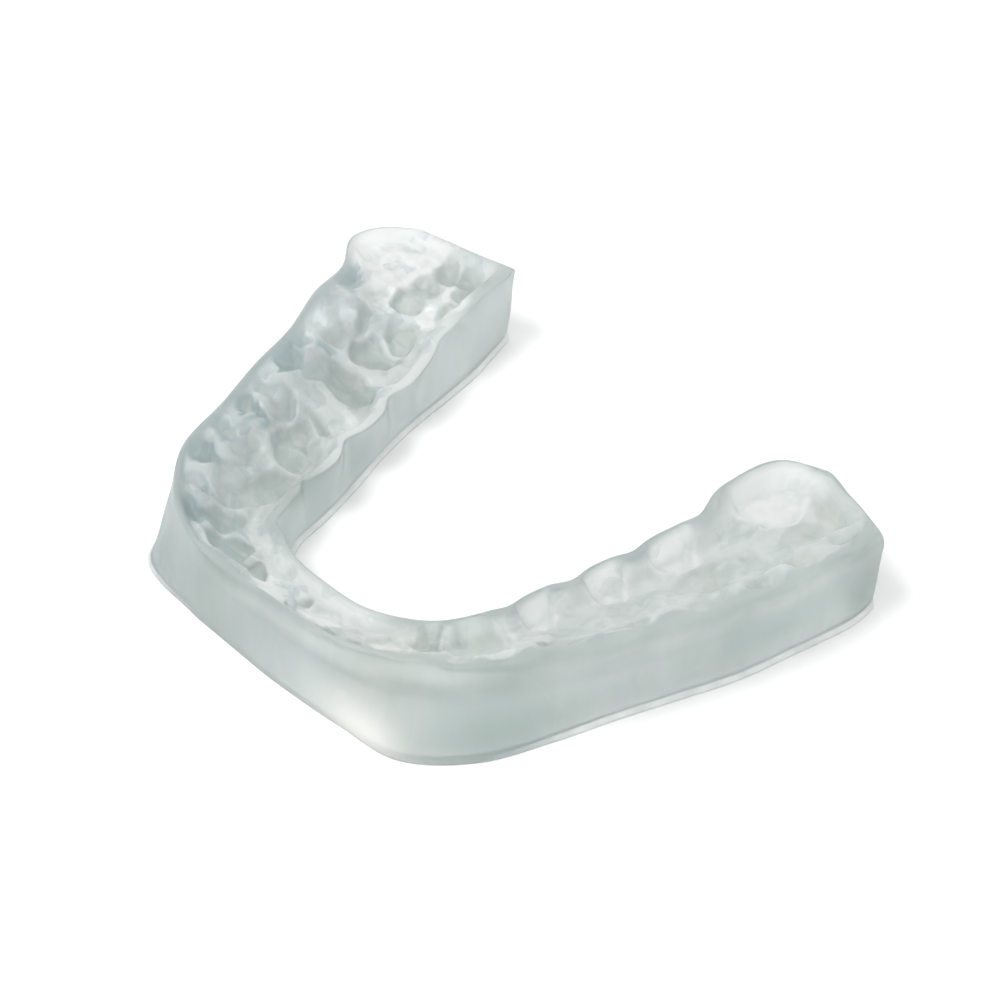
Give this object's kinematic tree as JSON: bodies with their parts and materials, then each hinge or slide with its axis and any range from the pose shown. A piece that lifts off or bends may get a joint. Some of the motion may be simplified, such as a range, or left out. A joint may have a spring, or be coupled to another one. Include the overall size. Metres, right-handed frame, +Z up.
{
  "type": "bite splint mouthguard",
  "caption": "U-shaped clear printed mouthguard with tooth imprints in its top and a flat biting face below.",
  "frame": {"origin": "middle of the bounding box in plan, on the flat resting face", "axes": "+Z up through the tooth imprints, -Y towards the front teeth, +Y back along the arms, X across the arch"},
  "size_m": [0.066, 0.0492, 0.0098],
  "materials": {
    "clear_resin": "translucent, milky grey-green, satin with glossy walls"
  },
  "bodies": {
    "root": {"mouthguard_body": "clear_resin"}
  },
  "joints": []
}
